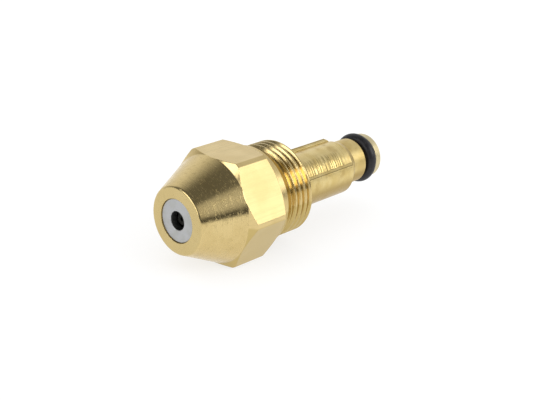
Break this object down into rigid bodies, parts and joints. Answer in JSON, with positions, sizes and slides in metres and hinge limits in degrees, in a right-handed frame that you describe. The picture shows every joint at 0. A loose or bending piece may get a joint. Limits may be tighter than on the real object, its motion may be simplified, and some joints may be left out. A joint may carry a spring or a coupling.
{
  "type": "oil burner nozzle",
  "caption": "Air-atomising oil burner nozzle: brass cone and hexagon with mounting thread, steel spray insert, and a screwed-in channelled stem with an O-ring.",
  "frame": {"origin": "on the nozzle's axis at the rear face of the collar behind the hexagon, which seats on the nozzle adapter", "axes": "+X along the axis from the spray hole towards the fuel inlet, +Z square to the upper flat of the hexagon, +Y towards a corner of the hexagon"},
  "size_m": [0.041, 0.018, 0.016],
  "materials": {
    "body_brass": "turned and milled, bright",
    "insert_steel": "fine ground, satin",
    "swirler_steel": "machined, satin",
    "tip_steel": "blackened, machined",
    "stem_brass": "turned, semi-bright",
    "seal_rubber": "satin, lightly oiled"
  },
  "bodies": {
    "housing": {"nozzle_body": "body_brass", "orifice_insert": "insert_steel"},
    "swirler": {"air_swirler": "swirler_steel"},
    "stem_unit": {"stem": "stem_brass", "fuel_tip": "tip_steel", "o_ring": "seal_rubber"}
  },
  "joints": [
    {"name": "stem_travel", "type": "slide", "parent": "housing", "child": "swirler", "axis": [1, 0, 0], "range_m": [0, 0.00635]},
    {"name": "stem_turn", "type": "hinge", "parent": "swirler", "child": "stem_unit", "pos_m": [0, 0, 0], "axis": [1, 0, 0], "range_deg": [0, 2880]}
  ],
  "couplings": [
    {"joint": "stem_turn", "follows": "stem_travel", "rad_per_m": 7915.8}
  ]
}
